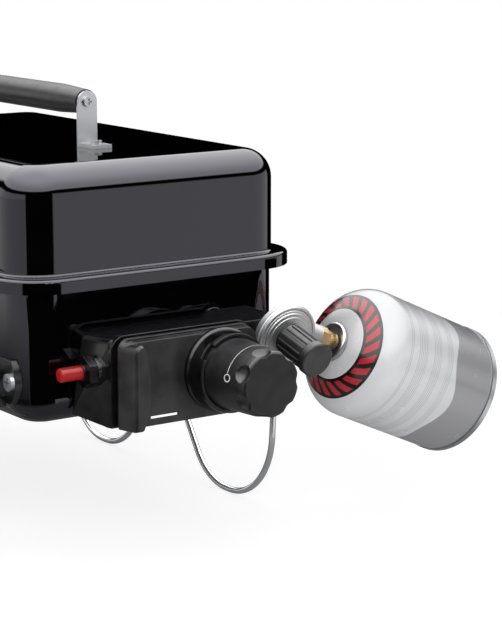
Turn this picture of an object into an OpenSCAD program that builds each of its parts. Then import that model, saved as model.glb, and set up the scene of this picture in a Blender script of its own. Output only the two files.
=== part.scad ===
// Portable gas grill: enamelled bowl and lift-off lid on two folding wire legs,
// with a control panel, regulator and screw-on gas canister at the right-hand end.
// X runs along the long side towards the panel, Y towards the back, Z up from the ground.

/* [Rim and sheet] */
// Length of the lid rim along X
rim_l = 440; // [420:1:470]
// Depth of the lid rim along Y
rim_d = 276; // [268:1:300]
// Corner radius of the rim
rim_r = 44.5; // [42:0.5:48]
// Thickness of the enamelled sheet
sheet = 1.2; // [1:0.1:1.6]
// Gap left between parts that sit on each other
seat = 0.1; // [0.05:0.01:0.2]
// Gap round parts that pass through a hole
pass = 0.4; // [0.3:0.1:0.6]
// Radial running clearance of pins and shafts
run = 0.05; // [0.02:0.01:0.1]

/* [Lid] */
// Height of the lid above the lower edge of its skirt
lid_h = 96; // [90:1:110]
// Radius between the lid wall and its top
lid_top_r = 24; // [18:1:28]
// Height of the skirt round the rim
skirt_h = 11.5; // [10:0.5:14]
// How far the rim stands out from the lid wall
rim_out = 13.5; // [12:0.5:16]
// Radius of the cove between rim and lid wall
rim_cove = 2.4; // [1.5:0.1:4]

/* [Bowl] */
// Depth of the bowl below the lower edge of the skirt
bowl_d = 108; // [100:1:116]
// Clear height under the bowl
ground_gap = 114; // [106:1:120]
// How far the bowl wall stands in from the edge of the rim
bowl_in = 15; // [14.5:0.5:17]
// Radius between the bowl wall and its floor
bowl_floor_r = 22; // [16:1:26]
// Radius of the flare under the bowl rim
bowl_flare_r = 8; // [6:0.5:9]

/* [Handle] */
// Length of the grip
grip_l = 190; // [160:5:220]
// Radius of the grip
grip_r = 12; // [10:0.5:14]
// Height of the grip axis above the lid
grip_h = 37; // [34:1:46]
// Width of the handle straps
strap_w = 18; // [14:1:22]
// Thickness of the handle straps
strap_t = 3; // [2:0.5:4]

/* [Legs] */
// Diameter of the leg wire
wire_d = 5.5; // [5:0.1:6]
// Distance of the leg pivots from the middle of the grill
leg_y = 142.5; // [142:0.5:148]
// Height of the leg pivots above the bowl floor
leg_pivot_h = 36; // [32:1:42]
// Half of the leg's outside span, to the wire axis
leg_x = 169; // [160:1:172]
// Bend radius of the feet
foot_r = 60; // [50:1:60]
// Straight length on the ground of each foot
foot_flat = 6; // [4:1:20]
// Bend radius of the hump between the feet
hump_r = 23.75; // [20:1.25:25]
// Bend radius at the pivot pins
pin_bend_r = 8; // [6:0.5:10]
// Length of wire that passes through each bracket
pin_l = 22; // [20:1:26]
// Inward lean of the standing legs
leg_lean = 3; // [2:0.5:4]

/* [Control panel] */
// Depth of the hood from the bowl wall
hood_x = 28; // [26:1:32]
// Height of the hood
hood_h = 70; // [68:1:72]
// Front side of the hood at the bowl wall
hood_front_y = 72.5; // [71:0.5:74]
// How much wider the hood gets towards its lower edge at the bowl wall
hood_flare = 9; // [7:0.5:10]
// How far the lower edge of the hood rises towards the bowl wall
hood_lift = 8; // [6:0.5:9]
// Back side of the hood
hood_back_y = 108; // [104:1:110]
// Radius of the hood's upper corners
hood_r = 4.5; // [4:0.5:6]
// Wall thickness of the plastic mouldings
plastic = 2.5; // [2:0.25:3]
// How far the frame of the hood stands out towards the cover
frame_x = 3; // [2.5:0.5:3.5]
// Height of the frame above the hood
frame_h = 3; // [2:0.5:4]
// Radius of the frame's upper corners
frame_r = 13; // [11:1:14]
// Depth of the front cover from the hood
cover_x = 25; // [24:0.5:26]
// Depth of the recess beside the crescent of the cover
cover_recess = 9; // [8:0.5:10]
// Width of the crescent at its middle
crescent_w = 14; // [12:0.5:15]
// Radius of the crescent's edge
crescent_r = 81; // [76:1:90]
// Side of the cover that faces the front, from the middle
cover_front_y = 60; // [56:1:62]
// Side of the cover that faces the back, from the middle
cover_back_y = 64; // [62:0.5:64]
// Taper of the front side walls
side_taper = 15; // [13:0.5:16]
// Radius of the cover's upper corners
mould_r = 9; // [8:0.5:10]

/* [Knob and valve] */
// Offset of the knob axis towards the back
knob_y = 29; // [27:0.5:30]
// Height of the knob axis above the bowl floor
knob_h = 38.5; // [37:0.5:40]
// Outer radius of the bezel ring
bezel_r = 34; // [33:0.5:34.5]
// Height of the bezel ring above the recess
bezel_x = 21; // [18:1:23]
// Radius of the knob at its base
knob_r = 29; // [27:0.5:29.5]
// Radius of the knob at its face
knob_face_r = 26.5; // [25:0.5:27]
// Length of the knob
knob_l = 60; // [54:1:62]
// Number of finger dimples
dimples = 7; // [5:1:9]
// Radius of the valve stem
stem_r = 4; // [3.5:0.25:4.5]
// Radius of the valve body
valve_r = 12; // [11:0.5:13]
// Outer radius of the burner tube
burner_r = 11; // [10:0.5:12]

/* [Igniter] */
// Place of the igniter axis on the hood side, from the bowl wall
ign_x = 15; // [13:0.5:16]
// Height of the igniter axis above the bowl floor
ign_h = 44.5; // [42:0.5:47]
// Radius of the button
button_r = 5.7; // [5.2:0.1:5.8]
// Length of the button that shows
button_l = 19; // [16:1:24]
// Travel of the button
button_travel = 6; // [4:0.5:8]
// Size of the lock nut across its flats
nut_af = 23; // [22:0.5:25]

/* [Regulator and canister] */
// Distance of the regulator axis from the middle, towards the back
reg_y = 89; // [88:0.5:91]
// Distance of the regulator face from the hood front
reg_x = 25; // [24:0.5:27]
// Height of the regulator centre above the bowl floor
reg_h = 57.7; // [56:0.1:59]
// Downward tilt of the regulator
reg_tilt = 16; // [14:0.5:18]
// Radius of the regulator housing
reg_r = 27; // [26:0.5:27]
// Radius of the bonnet
bonnet_r = 13.5; // [13:0.5:14.5]
// Length of the bonnet from the regulator face
bonnet_l = 42; // [38:1:44]
// Canister diameter
can_d = 111; // [108:1:112]
// Canister length from its valve to its base
can_l = 150; // [140:1:160]
// Canister valve end, along X from the hood front
can_x = 10; // [9:0.5:12]
// Canister valve end, from the middle towards the back
can_y = 141.5; // [140:0.5:143]
// Canister valve end, above the bowl floor
can_h = 47; // [46:0.5:48]
// Downward tilt of the canister
can_tilt = 24; // [22:0.5:25]
// Swing of the canister towards the bowl
can_swing = 3; // [1:0.5:4]

/* [Hidden] */
$fn = 64;

// heights
bowl_z = ground_gap;
floor_z = bowl_z + sheet;
skirt_z = bowl_z + bowl_d;
lid_z = skirt_z + lid_h;

// rim: every sheet profile is drawn outward from the centres of the rim's corners
core_x = rim_l / 2 - rim_r;
core_y = rim_d / 2 - rim_r;
lid_r = rim_r - rim_out;
bowl_r = rim_r - bowl_in;
wall_x = core_x + bowl_r;
wall_y = core_y + bowl_r;
rim_edge_r = 3;
flange_top = skirt_h - sheet - seat;
flange_r = rim_r - sheet - 2;

// legs
wire_r = wire_d / 2;
pivot_z = bowl_z + leg_pivot_h;
leg_drop = round(100 * (pivot_z - wire_r) / cos(leg_lean)) / 100;
foot_x = leg_x - foot_r;
inner_x = foot_x - foot_flat;
// the slanted strands rise 4 for each 3 along the leg
strand_a = atan2(4, 3);
strand_low = [inner_x - foot_r * 0.8, foot_r * 0.4 - leg_drop];
strand_high = [hump_r * 0.8, strand_low.y + (strand_low.x - hump_r * 0.8) * 4 / 3];
pin_x = leg_x - pin_bend_r;
barrel_r = wire_r + 3.75;
barrel_gap = 1;
barrel_l = pin_l - 4;
plate_t = 2.5;
plate_x0 = pin_x - pin_l;
plate_x1 = wall_x - 13;
plate_h = 34;
stop_h = 9;
stop_z = pivot_z - 22;
stop_y = leg_y - (pivot_z - stop_z) * sin(leg_lean) - wire_r - 0.3;
bracket_screw_x = wall_x - 19;
screw_r = 2.4;

// control panel
taper = tan(side_taper);
hood_fx = wall_x + hood_x;
hood_z1 = bowl_z + hood_h;
frame_fx = hood_fx + frame_x;
frame_back_y = cover_back_y + 3;
cover_neck = 3;
neck_x = frame_fx + cover_neck;
cover_z0 = bowl_z + 1;
cover_z1 = hood_z1 + 1.5;
cover_fall = 2.5;
cover_fx = hood_fx + cover_x;
recess_fx = cover_fx - cover_recess;
crescent_y = (cover_fx - neck_x) * taper - cover_front_y + crescent_w;
block_z0 = bowl_z - 0.5;
block_z1 = cover_z1 - cover_fall - 1;
block_r = 6;
knob_z = bowl_z + knob_h;
bezel_fx = recess_fx + bezel_x;
knob_x0 = bezel_fx - 10;
knob_fx = knob_x0 + knob_l;
valve_x0 = wall_x + 14;
valve_x1 = recess_fx - plastic - seat;
slot_l = 26;
slot_h = 2.6;

// igniter, square to the long side, on the hood's slanted side wall
ign_n = [0, -1, 0];
ign_flare = hood_flare * (1 - ign_x / hood_x) * (hood_h - ign_h) / (hood_h - hood_lift);
ign_p = [wall_x + ign_x, ign_x * taper - hood_front_y - ign_flare, bowl_z + ign_h];
ign_body_r = 7;
boss_l = 3;
boss_in = 6;
ign_neck = boss_l + 9.5;
ign_depth = 22;
ign_bore = 18;
button_in = 2;

// electrode
elec_y = knob_y - 16;
elec_z = knob_z + 16;
ceramic_r = 3.5;

// regulator
reg_p = [hood_fx + reg_x, reg_y, bowl_z + reg_h];
reg_rim = 1;
reg_step = 2;
boss_r = 8;
boss_z = reg_p.z - 3;
supply_r = 3;
supply_x = wall_x + 19;

// canister
can_p = [hood_fx + can_x, can_y, bowl_z + can_h];
can_c = [-sin(can_swing) * cos(can_tilt), cos(can_swing) * cos(can_tilt), -sin(can_tilt)];
can_r = can_d / 2;
can_t = 1;
can_rim = 0.6;
cup_r = 16.5;
cup_z = 6;
stub_r = 5.5;
shoulder_r = 25;
shoulder_a = 35;
dome_r = shoulder_r + (can_r - shoulder_r) / sin(shoulder_a);
dome_z = cup_z + sqrt(dome_r * dome_r - cup_r * cup_r);
shoulder_z = dome_z - (dome_r - shoulder_r) * cos(shoulder_a);

// handle
strap_x = grip_l / 2;
foot_l = 26;
strap_hole_x = strap_x + 16;

// grate
rod_r = 2;
rail_r = 3;
grate_top = skirt_z - 4;
rail_z = grate_top - 2 * rod_r - rail_r + 1;
rail_y = core_y - 12;
rod_y = wall_y - sheet - 13;
rail_x = wall_x - sheet - 12;
rods = 25;

// the origin is the middle of the whole outline, on the ground
mid_x = (knob_fx - rim_l / 2) / 2;
can_back = can_p.y + can_l * can_c.y + (can_r + can_rim) * sqrt(1 - can_c.y * can_c.y);
mid_y = (can_back - leg_y - barrel_r) / 2;

// moves a finished piece from the bowl's frame into the object's frame
module put() { translate([-mid_x, -mid_y, 0]) children(); }

// round bar between two points
module rod(p, q, r) {
    d = q - p;
    l = norm(d);
    translate(p) rotate([0, acos(d.z / l), atan2(d.y, d.x)]) cylinder(r = r, h = l);
}

// turns +Z towards a direction
module aim(d) { rotate([0, acos(d.z / norm(d)), atan2(d.y, d.x)]) children(); }

// turns +Z towards +X
module along_x() { rotate([0, 90, 0]) children(); }

// places children in the four mirrored quarters
module quarters() {
    for (sx = [0, 1], sy = [0, 1]) mirror([sx, 0, 0]) mirror([0, sy, 0]) children();
}

// carries a wall profile round the rounded rectangle of the rim
module round_rim() {
    for (k = [0, 1], m = [0, 1]) mirror([k, 0, 0]) mirror([0, m, 0])
        translate([core_x, core_y, 0]) rotate_extrude(angle = 90) children();
    for (k = [0, 1]) {
        mirror([0, k, 0]) translate([-core_x, core_y, 0]) rotate([90, 0, 90]) linear_extrude(2 * core_x) children();
        mirror([k, 0, 0]) translate([core_x, core_y, 0]) rotate([90, 0, 0]) linear_extrude(2 * core_y) children();
    }
}

// quarter of a ring, in the first quadrant
module arc_strip(r, t) {
    intersection() {
        difference() { circle(r); circle(r - t); }
        square(r);
    }
}

// outline of the bowl's outside wall
module bowl_outline() {
    square([2 * core_x, 2 * wall_y], center = true);
    square([2 * wall_x, 2 * core_y], center = true);
    for (sx = [-1, 1], sy = [-1, 1]) translate([sx * core_x, sy * core_y]) circle(bowl_r);
}

// upright slab ending at x, with rounded upper corners and a foot that may flare out
// to the front, used to blend the mouldings
slab_t = 0.5;
module slab(x, y0, y1, z0, z1, r, flare = 0) {
    for (y = [y0 + r, y1 - r]) translate([x - slab_t, y, z1 - r]) along_x() cylinder(r = r, h = slab_t, $fn = 32);
    translate([x - slab_t, y0 - flare, z0]) cube([slab_t, y1 - y0 + flare, 2]);
}

// coil of round wire along Z with flat ends left open
module coil(r, wire, turns, l) {
    n = 14 * turns;
    m = 8;
    ring = [for (i = [0 : n]) let (a = 360 * turns * i / n, z = wire + (l - 2 * wire) * i / n)
        for (j = [0 : m - 1]) let (b = 360 * j / m, u = r + wire * cos(b))
            [u * cos(a), u * sin(a), z + wire * sin(b)]];
    sides = [for (i = [0 : n - 1], j = [0 : m - 1]) let (k = (j + 1) % m)
        [i * m + j, (i + 1) * m + j, (i + 1) * m + k, i * m + k]];
    ends = [[for (j = [0 : m - 1]) j], [for (j = [m - 1 : -1 : 0]) n * m + j]];
    polyhedron(ring, concat(sides, ends));
}

// hexagon bar by its size across flats
module hex_bar(af, h) { cylinder(r = af / sqrt(3), h = h, $fn = 6); }

// pan-head screw, head underside at z = 0, shank downwards
module screw(head_r, head_h, l) {
    difference() {
        cylinder(r = head_r, h = head_h);
        for (a = [0, 90]) rotate(a) translate([-head_r * 0.6, -0.6, head_h * 0.4]) cube([head_r * 1.2, 1.2, head_h]);
    }
    translate([0, 0, -l]) cylinder(r = screw_r, h = l);
}

module lid_profile() {
    translate([rim_r - sheet, 0]) square([sheet, skirt_h - rim_edge_r]);
    translate([rim_r - rim_edge_r, skirt_h - rim_edge_r]) arc_strip(rim_edge_r, sheet);
    translate([lid_r - sheet, skirt_h - sheet]) square([rim_out + sheet - rim_edge_r, sheet]);
    translate([lid_r, skirt_h]) difference() {
        square(rim_cove);
        translate([rim_cove, rim_cove]) circle(rim_cove);
    }
    translate([lid_r - sheet, skirt_h - sheet]) square([sheet, lid_h - lid_top_r - skirt_h + sheet]);
    translate([lid_r - lid_top_r, lid_h - lid_top_r]) arc_strip(lid_top_r, sheet);
    translate([0, lid_h - sheet]) square([lid_r - lid_top_r, sheet]);
}

module bowl_profile() {
    flare_z = flange_top - sheet - bowl_flare_r;
    translate([bowl_r + bowl_flare_r, flange_top - sheet]) square([flange_r - bowl_r - bowl_flare_r, sheet]);
    translate([bowl_r + bowl_flare_r, flare_z]) mirror([1, 0]) arc_strip(bowl_flare_r + sheet, sheet);
    translate([bowl_r - sheet, bowl_floor_r - bowl_d]) square([sheet, flare_z + bowl_d - bowl_floor_r]);
    translate([bowl_r - bowl_floor_r, bowl_floor_r - bowl_d]) mirror([0, 1]) arc_strip(bowl_floor_r, sheet);
    translate([0, -bowl_d]) square([bowl_r - bowl_floor_r, sheet]);
}

module bowl() {
    color("#151618") put() difference() {
        union() {
            translate([0, 0, skirt_z]) round_rim() bowl_profile();
            translate([-core_x, -core_y, bowl_z]) cube([2 * core_x, 2 * core_y, sheet]);
        }
        translate([core_x, knob_y, knob_z]) along_x() cylinder(r = burner_r + pass, h = rim_r);
        translate([core_x, elec_y, elec_z]) along_x() cylinder(r = ceramic_r + pass, h = rim_r);
        quarters() translate([bracket_screw_x, wall_y + 5, pivot_z]) rotate([90, 0, 0]) cylinder(r = screw_r + pass, h = 20);
        for (b = hood_bosses) translate([core_x, b.x, b.y]) along_x() cylinder(r = screw_r + pass, h = rim_r);
    }
}

// hinge bracket on the wall at each corner: curved-back plate, barrel, web and a stop for the wire
module leg_brackets() {
    color("#1c1d1f") put() quarters() difference() {
        union() {
            intersection() {
                translate([plate_x0, core_y, pivot_z - plate_h / 2]) cube([plate_x1 - plate_x0, wall_y + plate_t - core_y, plate_h]);
                translate([plate_x1 - plate_h, 0, pivot_z]) union() {
                    rotate([-90, 0, 0]) cylinder(r = plate_h, h = leg_y);
                    translate([-rim_l, 0, -plate_h]) cube([rim_l, leg_y, 2 * plate_h]);
                }
            }
            translate([plate_x0, wall_y + 0.5, pivot_z - 4]) cube([barrel_l, leg_y - wall_y - 0.5, 8]);
            translate([plate_x0, leg_y, pivot_z]) along_x() cylinder(r = barrel_r, h = barrel_l);
            translate([leg_x - 5, wall_y + 0.5, stop_z]) cube([10, stop_y - wall_y - 0.5, stop_h]);
            translate([leg_x - 5, wall_y + 0.5, stop_z]) cube([10, plate_t - 0.5, plate_h / 2]);
        }
        translate([0, 0, bowl_z]) linear_extrude(bowl_d) bowl_outline();
        translate([plate_x0 - 1, leg_y, pivot_z]) along_x() cylinder(r = wire_r + run, h = barrel_l + 2);
        translate([bracket_screw_x, wall_y + 5, pivot_z]) rotate([90, 0, 0]) cylinder(r = screw_r + pass, h = 20);
    }
}

module bracket_screws() {
    color("#b9bcc0") put() quarters()
        translate([bracket_screw_x, wall_y + plate_t + seat, pivot_z]) rotate([-90, 0, 0]) screw(7, 3, 14);
}

// bend of round bar in the XY plane about a centre
module bend(c, r, a0, a1, w) {
    translate(c) rotate(a0) rotate_extrude(angle = a1 - a0) translate([r, 0]) circle(w);
}

// quarter bend that starts at a cut square to the slanted strand
module cut_bend(c, r, a0, cut, w) {
    intersection() {
        bend(c, r, a0, a0 + 90, w);
        translate(c) rotate(cut) translate([0, 0, -2 * w]) cube([2 * r, 2 * r, 4 * w]);
    }
}

// one half of the bent wire, in the plane of the leg with the pivot axis at y = 0
module leg_half() {
    rod([plate_x0, 0, 0], [pin_x, 0, 0], wire_r);
    bend([pin_x, -pin_bend_r, 0], pin_bend_r, 0, 90, wire_r);
    rod([leg_x, -pin_bend_r, 0], [leg_x, foot_r - leg_drop, 0], wire_r);
    bend([foot_x, foot_r - leg_drop, 0], foot_r, -90, 0, wire_r);
    rod([foot_x, -leg_drop, 0], [inner_x, -leg_drop, 0], wire_r);
    cut_bend([inner_x, foot_r - leg_drop, 0], foot_r, -180, -90 - strand_a, wire_r);
    rod([strand_low.x, strand_low.y, 0], [strand_high.x, strand_high.y, 0], wire_r);
    cut_bend([0, strand_high.y - hump_r * 0.6, 0], hump_r, 0, 90 - strand_a, wire_r);
}

module leg_wire() {
    translate([0, leg_y, pivot_z]) rotate([90 - leg_lean, 0, 0]) {
        leg_half();
        mirror([1, 0, 0]) leg_half();
    }
}

module leg_back() { color("#d5d8dc") put() leg_wire(); }

module leg_front() { color("#d5d8dc") put() mirror([0, 1, 0]) leg_wire(); }

// shelves on the end walls that carry the rails of the grate
module grate_rests() {
    color("#3a3b3d") put() quarters() translate([wall_x - sheet - seat, rail_y - 10, 0]) {
        translate([-16, 0, rail_z - rail_r - seat - 2]) cube([16, 20, 2]);
        translate([-2, 0, rail_z - rail_r - seat - 18]) cube([2, 20, 18]);
    }
}

module cooking_grate() {
    color("#232426") put() {
        for (y = [-rail_y, 0, rail_y]) translate([-rail_x, y, rail_z]) along_x() cylinder(r = rail_r, h = 2 * rail_x);
        for (i = [0 : rods - 1]) translate([(2 * i / (rods - 1) - 1) * (rail_x - 6), rod_y, grate_top - rod_r])
            rotate([90, 0, 0]) cylinder(r = rod_r, h = 2 * rod_y);
    }
}

// path of the burner: inlet behind the jet, straight run, half turn and a second run back
burner_x0 = wall_x + 8;
turn_x = 70 - core_x;
burner_x1 = core_x - 45;
module burner_path(r, x0, x1) {
    translate([turn_x, knob_y, 0]) along_x() cylinder(r = r, h = x0 - turn_x);
    bend([turn_x, 0, 0], knob_y, 90, 270, r);
    translate([turn_x, -knob_y, 0]) along_x() cylinder(r = r, h = x1 - turn_x);
}

module burner_tube() {
    ports = 9;
    color("#a9a49a") put() translate([0, 0, knob_z]) difference() {
        burner_path(burner_r, burner_x0, burner_x1);
        burner_path(burner_r - 1, burner_x0 + 1, burner_x1 - 2);
        for (i = [0 : ports - 1], s = [-1, 1]) translate([turn_x + 10 + i * (burner_x1 - turn_x - 30) / (ports - 1), s * knob_y, 0])
            rotate([s * 40, 0, 0]) cylinder(r = 1.3, h = burner_r + 1, $fn = 24);
    }
}

module burner_support() {
    support_in = 20;
    support_side = 20;
    support_x = turn_x + support_in;
    support_w = 2 * (knob_y + support_side);
    color("#8f8f8c") put() difference() {
        union() {
            translate([support_x, -support_w / 2, floor_z + seat]) cube([2, support_w, knob_z + 15 - floor_z - seat]);
            translate([support_x, -support_w / 2, floor_z + seat]) cube([18, support_w, 2]);
        }
        for (s = [-1, 1]) translate([support_x - 1, s * knob_y, knob_z]) along_x() cylinder(r = burner_r + run, h = 4);
    }
}

// roof of folded sheet over the burner, standing on four legs
roof_a = 30;
roof_w = 62;
roof_top = rail_z - rail_r - 8;
roof_x0 = -core_x + 40;
roof_l = 2 * core_x - 60;
module heat_deflector() {
    eave = roof_top - roof_w * tan(roof_a);
    color("#4a4846") put() {
        translate([roof_x0, 0, roof_top]) rotate([90, 0, 90]) linear_extrude(roof_l)
            polygon([[0, 0], [roof_w, -roof_w * tan(roof_a)], [roof_w, -roof_w * tan(roof_a) - 2], [0, -2],
                [-roof_w, -roof_w * tan(roof_a) - 2], [-roof_w, -roof_w * tan(roof_a)]]);
        for (x = [roof_x0, roof_x0 + roof_l - 14], s = [0, 1]) mirror([0, s, 0])
            translate([x, roof_w - 1.5, floor_z + seat]) cube([14, 1.5, eave - 1 - floor_z - seat]);
    }
}

module lid_shell() {
    color("#17181a") put() difference() {
        union() {
            translate([0, 0, skirt_z]) round_rim() lid_profile();
            translate([-core_x, -core_y, lid_z - sheet]) cube([2 * core_x, 2 * core_y, sheet]);
        }
        for (s = [-1, 1]) translate([s * strap_hole_x, 0, lid_z - 5]) cylinder(r = screw_r + pass, h = 10);
    }
}

module handle_grip() {
    color("#1a1a1b") put() translate([0, 0, lid_z + grip_h]) along_x() difference() {
        rotate_extrude() polygon([[0, -strap_x + seat], [grip_r - 2, -strap_x + seat], [grip_r, -strap_x * 0.6],
            [grip_r, strap_x * 0.6], [grip_r - 2, strap_x - seat], [0, strap_x - seat]]);
        for (s = [0, 1]) mirror([0, 0, s]) translate([0, 0, strap_x - 21]) cylinder(r = screw_r + run, h = 22);
    }
}

module handle_straps() {
    color("#9ea1a5") put() for (s = [0, 1]) mirror([s, 0, 0]) translate([strap_x, 0, lid_z + seat]) difference() {
        union() {
            translate([0, -strap_w / 2, 0]) cube([foot_l, strap_w, strap_t]);
            translate([0, -strap_w / 2, 0]) cube([strap_t, strap_w, grip_h - seat]);
            translate([0, 0, grip_h - seat]) along_x() cylinder(r = strap_w / 2, h = strap_t);
        }
        translate([strap_hole_x - strap_x, 0, -1]) cylinder(r = screw_r + pass, h = strap_t + 2);
        translate([-1, 0, grip_h - seat]) along_x() cylinder(r = screw_r + pass, h = strap_t + 2);
    }
}

module handle_screws() {
    color("#b9bcc0") put() for (s = [0, 1]) mirror([s, 0, 0]) {
        translate([strap_hole_x, 0, lid_z + strap_t + 2 * seat]) screw(5, 2.6, 12);
        translate([strap_x + strap_t + seat, 0, lid_z + grip_h]) along_x() screw(4.5, 2.4, 20);
    }
}

module handle_nuts() {
    color("#b9bcc0") put() for (s = [-1, 1]) translate([s * strap_hole_x, 0, lid_z - sheet - seat - 4]) difference() {
        hex_bar(8, 4);
        translate([0, 0, -1]) cylinder(r = screw_r + run, h = 6);
    }
}

// bosses inside the hood for the screws that hold it to the bowl
hood_bosses = [[18 - hood_front_y, hood_z1 - 12], [core_y - 7, bowl_z + bowl_floor_r + 12]];
function hood_y(x) = (x - wall_x) * taper - hood_front_y;
module hood_space(inset, x0, x1) {
    hull() {
        slab(x0 + slab_t, hood_y(x0) + inset, hood_back_y - inset, bowl_z + hood_lift, hood_z1 - inset, hood_r - inset / 2, hood_flare);
        slab(x1, hood_y(x1) + inset, hood_back_y - inset, bowl_z, hood_z1 - inset, hood_r - inset / 2);
    }
}

// frame at the front of the hood that the cover is seated against
module hood_frame() {
    hull() for (x = [hood_fx - frame_x + slab_t, frame_fx])
        slab(x, hood_y(x), frame_back_y, bowl_z, hood_z1 + frame_h, frame_r);
}

module panel_hood() {
    window_y0 = plastic + 4 - cover_front_y;
    rib_h = 11;
    color("#2c2d2f") put() difference() {
        union() {
            difference() {
                hood_space(0, wall_x + seat, hood_fx);
                translate([0, 0, -0.5]) hood_space(plastic, wall_x - 1, hood_fx - plastic);
            }
            hood_frame();
            translate(ign_p - boss_in * ign_n) aim(ign_n) cylinder(r = nut_af / 2 + 1, h = boss_l + boss_in);
            translate([ign_p.x, ign_p.y + seat, ign_p.z - rib_h / 2]) cube([hood_fx - ign_p.x, boss_in, rib_h]);
            for (b = hood_bosses) translate([wall_x + seat, b.x, b.y]) along_x() cylinder(r = 5, h = hood_x - 1);
        }
        translate(ign_p - 20 * ign_n) aim(ign_n) cylinder(r = ign_body_r + pass, h = 40);
        // spot face that seats the lock nut where the wall flares past it
        translate(ign_p + boss_l * ign_n) aim(ign_n) cylinder(r = nut_af / sqrt(3) + pass, h = 20);
        for (b = hood_bosses) translate([wall_x, b.x, b.y]) along_x() cylinder(r = screw_r + run, h = hood_x - 6);
        translate([hood_fx - 2 * plastic, window_y0, bowl_z - 1]) cube([3 * plastic + frame_x, cover_back_y - plastic - 4 - window_y0, hood_h - plastic - 4]);
        translate([hood_fx - 2 * plastic, reg_y, boss_z]) along_x() cylinder(r = boss_r + pass, h = 3 * plastic);
    }
}

module hood_screws() {
    color("#b9bcc0") put() for (b = hood_bosses) translate([wall_x - sheet - seat, b.x, b.y]) rotate([0, -90, 0]) screw(4.5, 2.4, 18);
}

// plate of the front cover, falling a little towards its face
function cover_y(x) = (x - neck_x) * taper - cover_front_y;
module plate_space(inset, x0, x1) {
    hull() {
        slab(x0 + slab_t, cover_y(x0) + inset, cover_back_y - inset, cover_z0, cover_z1 - inset, mould_r - inset / 2);
        slab(x1, cover_y(x1) + inset, cover_back_y - inset, cover_z0, cover_z1 - cover_fall - inset, mould_r - inset / 2);
    }
}

// raised block at the left of the cover, whose inner edge is the arc of a crescent
module block_space(inset, x0, x1) {
    edge = 1.5;
    intersection() {
        hull() {
            slab(x0 + slab_t, cover_y(x0) + inset, crescent_y + block_r, block_z0, block_z1 - inset, block_r - inset / 2);
            slab(x1 - edge, cover_y(x1 - edge) + inset, crescent_y + block_r, block_z0, block_z1 - inset, block_r - inset / 2);
            slab(x1, cover_y(x1) + inset + edge, crescent_y + block_r, block_z0 + edge, block_z1 - inset - edge, block_r - inset / 2);
        }
        translate([x0 - 1, crescent_y - crescent_r, (block_z0 + block_z1) / 2]) along_x()
            cylinder(r = crescent_r - inset, h = x1 - x0 + 2);
    }
}

module panel_cover() {
    ridge_w = 2.5;
    color("#2f3032") put() difference() {
        union() {
            plate_space(0, neck_x, recess_fx);
            plate_space(2, frame_fx + seat, neck_x + 1);
            block_space(0, neck_x, cover_fx);
        }
        translate([0, 0, -plastic]) plate_space(plastic, neck_x, recess_fx - plastic);
        translate([0, 0, -plastic]) block_space(plastic, neck_x + 1, cover_fx - plastic);
        translate([frame_fx - 1, plastic + 4 - cover_front_y, bowl_z - 1]) cube([cover_neck + 2, cover_front_y + cover_back_y - 2 * plastic - 8, hood_h - plastic - 5]);
        // groove along the top between two ridges
        translate([neck_x + ridge_w, cover_y(cover_fx), cover_z1 - cover_fall]) cube([ridge_w, rim_d, 2 * cover_fall]);
        // vent slot near the lower edge
        translate([recess_fx - 2 * plastic, crescent_y + 4.5, cover_z0 + 5]) cube([4 * plastic, slot_l, slot_h]);
        translate([recess_fx - 2 * plastic, knob_y, knob_z]) along_x() cylinder(r = stem_r + 2, h = 4 * plastic);
    }
}

// ring round the knob, with an index notch in its lip
module knob_bezel() {
    notch_a = 128;
    notch_w = 25;
    color("#262729") put() translate([recess_fx + seat, knob_y, knob_z]) along_x() difference() {
        rotate_extrude() {
            translate([stem_r + 2, 0]) square([bezel_r - stem_r - 2, 2]);
            polygon([[knob_r + 1.6, 0], [bezel_r, 0], [bezel_r, 3], [bezel_r - 1.4, 4.5], [bezel_r - 1.4, bezel_x - 4],
                [bezel_r - 2, bezel_x - seat], [knob_r + 1, bezel_x - seat], [knob_r + 1, bezel_x - 2], [knob_r + 1.6, bezel_x - 2]]);
        }
        rotate(notch_a + 90) translate([0, 0, bezel_x - 5]) rotate_extrude(angle = notch_w) translate([knob_r - 2, 0]) square([8, 6]);
    }
}

module control_knob() {
    dimple_a = 104;
    color("#2b2c2e") put() translate([knob_x0, knob_y, knob_z]) along_x() difference() {
        rotate_extrude() polygon([[0, 0], [knob_r - 1, 0], [knob_r, 1], [knob_r, 8], [knob_r - 0.6, 14],
            [knob_face_r + 0.4, knob_l - 6], [knob_face_r, knob_l - 2.2], [knob_face_r - 0.7, knob_l - 0.8], [knob_face_r - 2, knob_l], [0, knob_l]]);
        for (i = [0 : dimples - 1]) rotate(dimple_a + 90 + i * 360 / dimples) translate([knob_face_r + 6, 0, knob_l - 4]) sphere(r = 10);
        translate([0, 0, -1]) cylinder(r = stem_r + seat, h = 21);
    }
}

module valve_stem() {
    color("#b8b2a4") put() translate([valve_x0 + 8, knob_y, knob_z]) along_x() cylinder(r = stem_r, h = knob_x0 + 19 - valve_x0 - 8);
}

// points where the supply tube enters the valve and the regulator boss
supply_a = [supply_x, knob_y + valve_r - 4, knob_z];
supply_b = [supply_x, reg_y - boss_r + 4, boss_z];

module valve_body() {
    color("#c9a257") put() difference() {
        translate([valve_x0, knob_y, knob_z]) along_x() {
            cylinder(r = valve_r, h = 16);
            hex_bar(19, 20);
            cylinder(r = stem_r + 3, h = valve_x1 - valve_x0);
        }
        translate([valve_x0 + 7, knob_y, knob_z]) along_x() cylinder(r = stem_r + run, h = valve_x1);
        translate([valve_x0 - 1, knob_y, knob_z]) along_x() cylinder(r = 1.5, h = 10);
        rod(supply_a, supply_b, supply_r + run);
    }
}

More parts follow.
